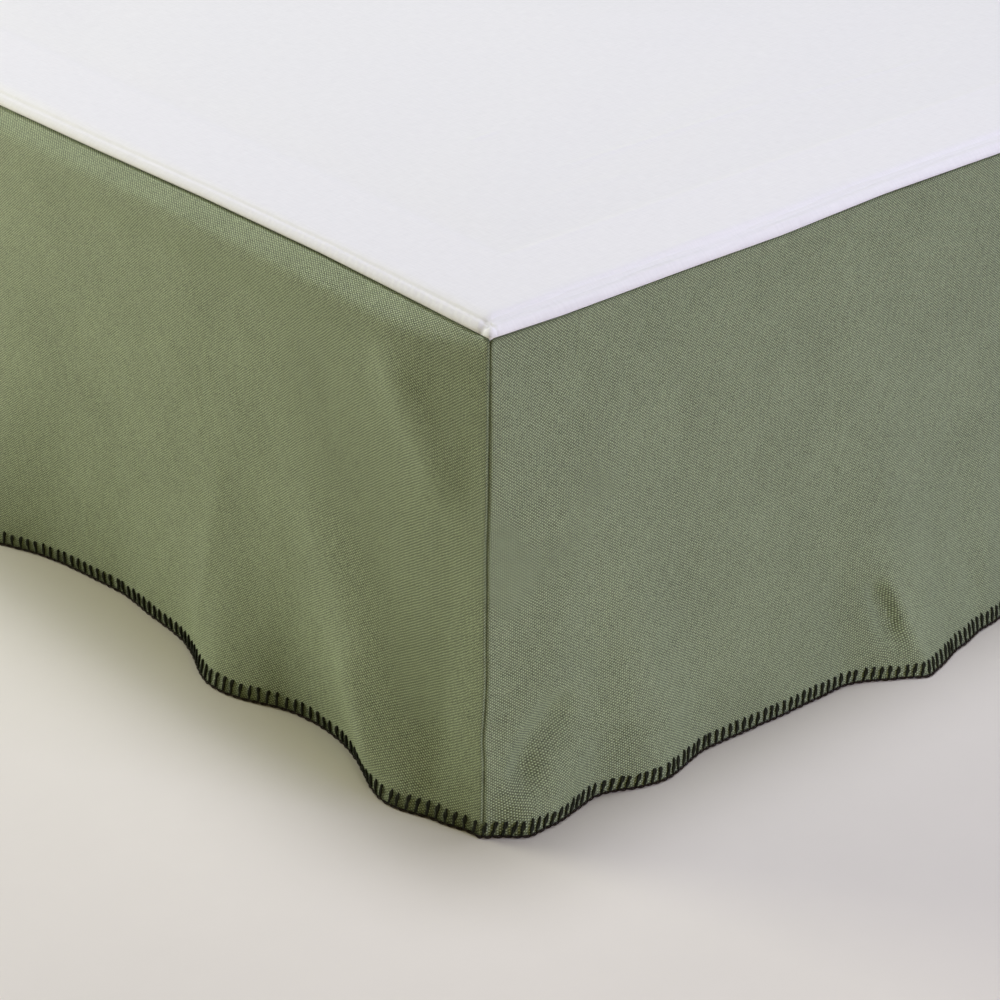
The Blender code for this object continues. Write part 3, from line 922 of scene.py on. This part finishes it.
class Nodes:
    """Short calls that build one material's nodes."""

    def __init__(self, name, roughness, specular=0.5, sheen=0.0):
        self.material = bpy.data.materials.new(name)
        self.material.use_nodes = True
        self.tree = self.material.node_tree
        self.shader = self.tree.nodes["Principled BSDF"]
        self.set("Roughness", roughness)
        self.set("Specular IOR Level", specular)
        self.set("Sheen Weight", sheen)

    def set(self, name, value):
        self.shader.inputs[name].default_value = value

    def node(self, kind, inputs, **settings):
        """A new node. Each of its inputs is a value or another node's socket."""
        node = self.tree.nodes.new(kind)
        for key, value in settings.items():
            setattr(node, key, value)
        for key, value in inputs.items():
            if isinstance(value, bpy.types.NodeSocket):
                self.tree.links.new(value, node.inputs[key])
            else:
                node.inputs[key].default_value = value
        return node

    def math(self, operation, *values, clamp=False):
        inputs = dict(enumerate(values))
        return self.node("ShaderNodeMath", inputs, operation=operation, use_clamp=clamp).outputs[0]

    def times(self, a, b):
        return self.math("MULTIPLY", a, b)

    def times_plus(self, a, b, c, clamp=False):
        return self.math("MULTIPLY_ADD", a, b, c, clamp=clamp)

    def vary(self, base, pattern, amount, clamp=False):
        """The base, raised and lowered by a pattern that runs from 0 to 1."""
        return self.times_plus(self.math("SUBTRACT", pattern, 0.5), amount, base, clamp)

    def mix(self, factor, a, b, blend="MIX"):
        inputs = {"Factor": factor, "A": a, "B": b}
        node = self.node("ShaderNodeMix", inputs, data_type="RGBA", blend_type=blend)
        return node.outputs["Result"]

    def shades(self, factor, dark, light):
        """From one colour to another, each given without its alpha."""
        return self.mix(factor, (*dark, 1.0), (*light, 1.0))

    def split(self, vector):
        return tuple(self.node("ShaderNodeSeparateXYZ", {0: vector}).outputs)

    def cloth_uv(self):
        """The two metre coordinates of the cloth's UV map."""
        return self.split(self.node("ShaderNodeUVMap", {}, uv_map="cloth").outputs[0])[:2]

    def object_place(self):
        return self.node("ShaderNodeTexCoord", {}).outputs["Object"]

    def vector(self, x, y, z=0.0):
        return self.node("ShaderNodeCombineXYZ", {0: x, 1: y, 2: z}).outputs[0]

    def stretched(self, place, *scales):
        """A place's coordinates, each times its own scale."""
        return self.vector(*(self.times(x, scale) for x, scale in zip(place, scales)))

    def noise(self, vector, scale, detail=2.0, roughness=0.5):
        inputs = {"Vector": vector, "Scale": scale, "Detail": detail, "Roughness": roughness}
        return self.node("ShaderNodeTexNoise", inputs).outputs["Fac"]

    def bump(self, height, distance, strength=1.0, below=None):
        inputs = {"Height": height, "Distance": distance, "Strength": strength}
        if below is not None:
            inputs["Normal"] = below
        return self.node("ShaderNodeBump", inputs).outputs["Normal"]

    def finish(self, colour, normal=None):
        self.tree.links.new(colour, self.shader.inputs["Base Color"])
        if normal is not None:
            self.tree.links.new(normal, self.shader.inputs["Normal"])
        return self.material


def plain_weave(n, u, v, pitch_u, pitch_v, wander):
    """A plain weave's height, from 0 in the gaps to 1 on the threads, how far the warp lies on
    top, and the numbers of the warp's and the weft's threads."""
    threads = []
    for along, pitch, where in ((u, pitch_u, n.vector(u, v)), (v, pitch_v, n.vector(v, u, 3.0))):
        drift = n.noise(where, WEAVE_DRIFT_SCALE)
        threads.append(n.vary(n.math("DIVIDE", along, pitch), drift, wander))
    cos_a, cos_b = [n.math("COSINE", n.times(thread, math.pi)) for thread in threads]
    over = n.times_plus(n.times(cos_a, cos_b), 0.5, 0.5)
    warp = n.times(n.times(cos_a, cos_a), over)
    weft = n.times(n.times(cos_b, cos_b), n.math("SUBTRACT", 1.0, over))
    return n.math("MAXIMUM", warp, weft), over, *threads


def thread_tone(n, number, along, length, seed):
    """A tone from 0 to 1 that stays much the same along one thread."""
    across = n.times(n.math("ROUND", number), 0.71)
    return n.noise(n.vector(across, n.math("DIVIDE", along, length), seed), 1.0)


WEAVE_DRIFT_SCALE = 90.0
CANVAS_PITCH = (0.00150, 0.00115)
CANVAS_WANDER = 0.9  # how far its threads stray from even spacing
CANVAS_BUMP = 0.00045
COTTON_TONE = 0.10  # how much the cotton's threads differ
COTTON_CRUMPLE = 0.0012
YARN_TWIST = 0.0022  # length of one turn along the yarn


def canvas_material():
    n = Nodes("sage_canvas", 0.50, specular=0.60)
    u, v = n.cloth_uv()
    height, over, a, b = plain_weave(n, u, v, *CANVAS_PITCH, CANVAS_WANDER)
    warp = n.times(thread_tone(n, a, v, 0.012, 1.0), over)
    weft = n.times(thread_tone(n, b, u, 0.010, 7.0), n.math("SUBTRACT", 1.0, over))
    cloud = n.noise(n.vector(u, v), 14.0, 4.0, 0.6)
    fibre = n.noise(n.vector(u, v, 5.0), 640.0, 2.0)
    # The canvas is darker where the weave's height is low, a painted shade in its gaps. It is
    # lighter and greyer on the thread crowns, which is partly a painted highlight. The threads',
    # cloud and fibre tones vary at random.
    shade = n.times_plus(n.times(height, height), 0.60, -0.22)
    shade = n.times_plus(over, 0.80, shade)
    shade = n.vary(shade, n.math("ADD", warp, weft), 0.45)
    shade = n.vary(shade, cloud, 0.15)
    shade = n.vary(shade, fibre, 0.6, clamp=True)
    colour = n.shades(shade, (0.038, 0.050, 0.012), (0.672, 0.806, 0.448))
    return n.finish(colour, n.bump(n.vary(height, fibre, 0.7), CANVAS_BUMP))


def cotton_material():
    n = Nodes("white_cotton", 0.88, specular=0.2, sheen=0.08)
    u, v = n.cloth_uv()
    streak = n.noise(n.stretched((u, v), 70.0, 700.0), 1.0, 3.0)
    cross = n.noise(n.stretched((u, v, 4.0), 700.0, 70.0, 1.0), 1.0, 3.0)
    threads = n.math("ADD", streak, cross)
    border = n.node("ShaderNodeAttribute", {}, attribute_name="border").outputs["Fac"]
    colour = n.shades(border, (0.850, 0.852, 0.792), (0.862, 0.862, 0.810))
    tone = n.times_plus(n.math("SUBTRACT", threads, 1.0), COTTON_TONE, 0.97)
    normal = n.bump(n.noise(n.vector(u, v), 30.0, 5.0, 0.55), COTTON_CRUMPLE, 0.35)
    return n.finish(n.mix(1.0, colour, tone, "MULTIPLY"), n.bump(threads, 0.0001, 0.5, normal))


def yarn_material(name, dark, light):
    n = Nodes(name, 0.86, specular=0.2, sheen=0.04)
    u, v = n.cloth_uv()
    twist = n.math("FRACT", n.math("ADD", n.times(u, 3.0), n.math("DIVIDE", v, YARN_TWIST)))
    ridge = n.math("SINE", n.times(twist, math.pi))
    fibres = n.noise(n.object_place(), 1900.0, 2.0)
    shade = n.times_plus(ridge, 0.5, n.times(fibres, 0.5), clamp=True)
    normal = n.bump(n.times_plus(fibres, 0.3, ridge), 0.00018, 0.8)
    return n.finish(n.shades(shade, dark, light), normal)


def upholstery_material():
    n = Nodes("base_upholstery", 0.9, sheen=0.1)
    x, y, z = n.split(n.object_place())
    height, _, a, _ = plain_weave(n, n.math("ADD", x, y), z, 0.0013, 0.0013, 0.4)
    thread = thread_tone(n, a, z, 0.03, 2.0)
    shade = n.times_plus(height, 0.4, n.times(thread, 0.6), clamp=True)
    colour = n.shades(shade, (0.36, 0.345, 0.315), (0.58, 0.56, 0.53))
    return n.finish(colour, n.bump(height, 0.0003, 0.7))


def fibre_material(name, scale, detail, dark, light):
    """A plain felted cloth."""
    n = Nodes(name, 0.95)
    return n.finish(n.shades(n.noise(n.object_place(), scale, detail), dark, light))


def beech_material():
    n = Nodes("leg_beech", 0.42)
    parts = n.split(n.object_place())
    grain = n.noise(n.stretched(parts, 60.0, 60.0, 5.0), 1.0, 4.0, 0.6)
    flecks = n.noise(n.stretched(parts, 700.0, 700.0, 90.0), 1.0, 2.0)
    shade = n.times_plus(flecks, 0.35, n.times(grain, 0.75), clamp=True)
    n.set("Coat Weight", 0.25)
    n.set("Coat Roughness", 0.25)
    colour = n.shades(shade, (0.56, 0.36, 0.20), (0.36, 0.21, 0.105))
    return n.finish(colour, n.bump(flecks, 0.00008, 0.5))


def floor_material():
    n = Nodes("studio_floor", 0.85, specular=0.15)
    mottle = n.noise(n.object_place(), 26.0, 6.0, 0.6)
    shade = n.vary(n.noise(n.object_place(), 3.0, 2.0), mottle, 0.5)
    colour = n.shades(shade, (0.742, 0.713, 0.620), (0.788, 0.754, 0.659))
    return n.finish(colour, n.bump(mottle, 0.0006, 0.25))


# ---- The whole skirt ----


def dress(piece, slot, *nodes):
    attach(piece, "root")
    for node in nodes:
        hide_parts(node)


def make_skirt():
    canvas = canvas_material()
    cotton = cotton_material()
    leg_yarn = yarn_material("stitch_yarn", (0.004, 0.005, 0.0025), (0.026, 0.030, 0.014))
    edge_yarn = yarn_material("edge_yarn", (0.007, 0.0045, 0.002), (0.034, 0.022, 0.011))
    for seed, side in enumerate(SIDE_LENGTH, STITCH_SEED):
        panel = make_panel(side, canvas)
        dress(panel, "sage_canvas", "skirt_panel_" + side)
        stitching = make_stitching(side, [leg_yarn, edge_yarn], seed)
        dress(stitching, None)
    deck = make_deck(cotton)
    dress(deck, "white_cotton", "skirt_deck")


def make_bed():
    upholstery = upholstery_material()
    dust_cover = fibre_material("dust_cover", 600.0, 4.0, (0.02, 0.02, 0.022), (0.07, 0.07, 0.075))
    dress(make_base(upholstery, dust_cover), "base_upholstery", "bed_base")
    dress(make_piping(upholstery), "base_upholstery")
    wood = beech_material()
    felt = fibre_material("glide_felt", 1500.0, 3.0, (0.08, 0.07, 0.06), (0.2, 0.18, 0.16))
    for name in ("foot_left", "foot_right", "head_left", "head_right"):
        dress(make_leg(name, wood, felt), "leg_beech", "bed_leg_" + name)


# ---- Camera, floor and lights ----


def make_camera():
    """Looks at the corner seam's top from the picture's angle, with that point at its pixel."""
    turn = Matrix.Rotation(-CAMERA_TURN, 4, "Z")
    turn = turn @ Matrix.Rotation(math.pi / 2 - CAMERA_PITCH, 4, "X")
    drop = SEAM_DROP["left"][0][1]
    inset = ROLL_RADIUS * (1 - math.cos(seam_angle("left", 0.0)))
    corner = Vector(ORIGIN) + Vector((inset, inset, -drop))
    across, down = CORNER_PIXEL
    to_corner = Vector((across - PICTURE / 2, PICTURE / 2 - down, -LENS_PIXELS)) / LENS_PIXELS
    data = bpy.data.cameras.new("camera")
    data.sensor_width = SENSOR
    data.lens = SENSOR * LENS_PIXELS / PICTURE
    data.dof.use_dof = False
    camera = add_object("camera", data)
    camera.matrix_world = Matrix.Translation(corner - turn @ to_corner * CORNER_DISTANCE) @ turn
    bpy.context.scene.camera = camera
    return corner


def make_floor():
    mesh = bpy.data.meshes.new("studio_floor")
    far = 12.0
    corners = [(-far, -far, 0.0), (far, -far, 0.0), (far, far, 0.0), (-far, far, 0.0)]
    mesh.from_pydata(corners, [], [(0, 1, 2, 3)])
    floor = link_object("studio_floor", mesh, [floor_material()])


def make_light(target, name, turn, height, distance, size, power, colour):
    """A square softbox at an angle round the target and an angle above the floor."""
    data = bpy.data.lights.new(name, "AREA")
    data.size = size
    data.energy = power
    data.color = colour
    turn, height = math.radians(turn), math.radians(height)
    level = math.cos(height)
    away = Vector((level * math.cos(turn), level * math.sin(turn), math.sin(height)))
    light = add_object(name, data)
    light.rotation_euler = away.to_track_quat("Z", "Y").to_euler()
    light.location = target + away * distance


# Rows: (name, degrees round the corner from +X, degrees up, distance, size, power, colour)
LIGHTS = (
    ("warm_window", 115.0, 12.0, 4.0, 1.6, 75.0, (1.0, 0.985, 0.79)),
    ("near_window", 120.0, 18.0, 2.2, 1.0, 8.4, (1.0, 1.0, 0.93)),
    ("overhead", 45.0, 75.0, 3.8, 1.2, 96.0, (0.83, 0.835, 1.0)),
    ("back_top", 0.0, 72.0, 3.8, 1.2, 19.0, (0.95, 0.95, 1.0)),
    ("cool_front", 290.0, 12.0, 4.0, 1.6, 95.0, (0.66, 0.65, 1.0)),
    ("front_fill", 250.0, 25.0, 4.0, 2.4, 26.0, (1.0, 0.83, 0.36)),
)
AMBIENT = (1.0, 0.95, 0.9, 1.0)
AMBIENT_STRENGTH = 0.010


def light_scene(corner):
    target = Vector((corner.x + 0.1, corner.y + 0.1, 0.25))
    for row in LIGHTS:
        make_light(target, *row)
    world = bpy.data.worlds.new("studio")
    world.use_nodes = True
    background = world.node_tree.nodes["Background"]
    background.inputs["Color"].default_value = AMBIENT
    background.inputs["Strength"].default_value = AMBIENT_STRENGTH
    bpy.context.scene.world = world
    bpy.context.scene.view_settings.view_transform = "Standard"


corner_seam = make_camera()
make_skirt()
make_bed()
make_floor()
light_scene(corner_seam)
